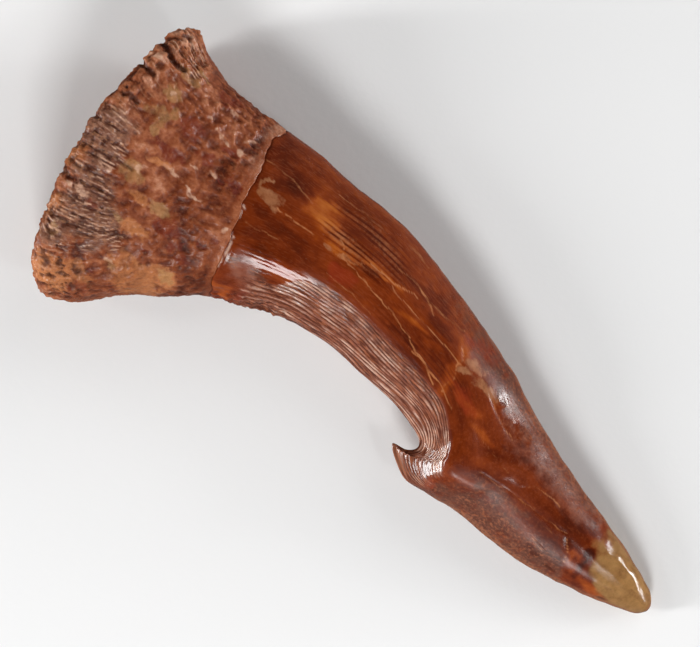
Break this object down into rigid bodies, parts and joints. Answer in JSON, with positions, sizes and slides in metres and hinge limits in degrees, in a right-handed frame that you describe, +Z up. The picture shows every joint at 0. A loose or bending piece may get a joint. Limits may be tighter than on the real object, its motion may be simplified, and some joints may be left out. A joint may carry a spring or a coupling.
{
  "type": "fossil sawfish rostral tooth",
  "caption": "Fossil sawfish rostral tooth, lying down: curved glossy amber-brown crown with a hooked rear barb and fine striae, flaring into a rough ridged root with a hollow end.",
  "frame": {"origin": "on the surface it rests on, under the middle of its bounding box", "axes": "+X from the flared root to the tip, +Y towards the convex edge (the barb is on the -Y side), +Z up as it lies"},
  "size_m": [0.0494, 0.0202, 0.0114],
  "materials": {
    "fossil_tooth": "glossy mineralised enamel on the crown, rough porous root"
  },
  "bodies": {
    "root": {"rostral_tooth": "fossil_tooth"}
  },
  "joints": []
}
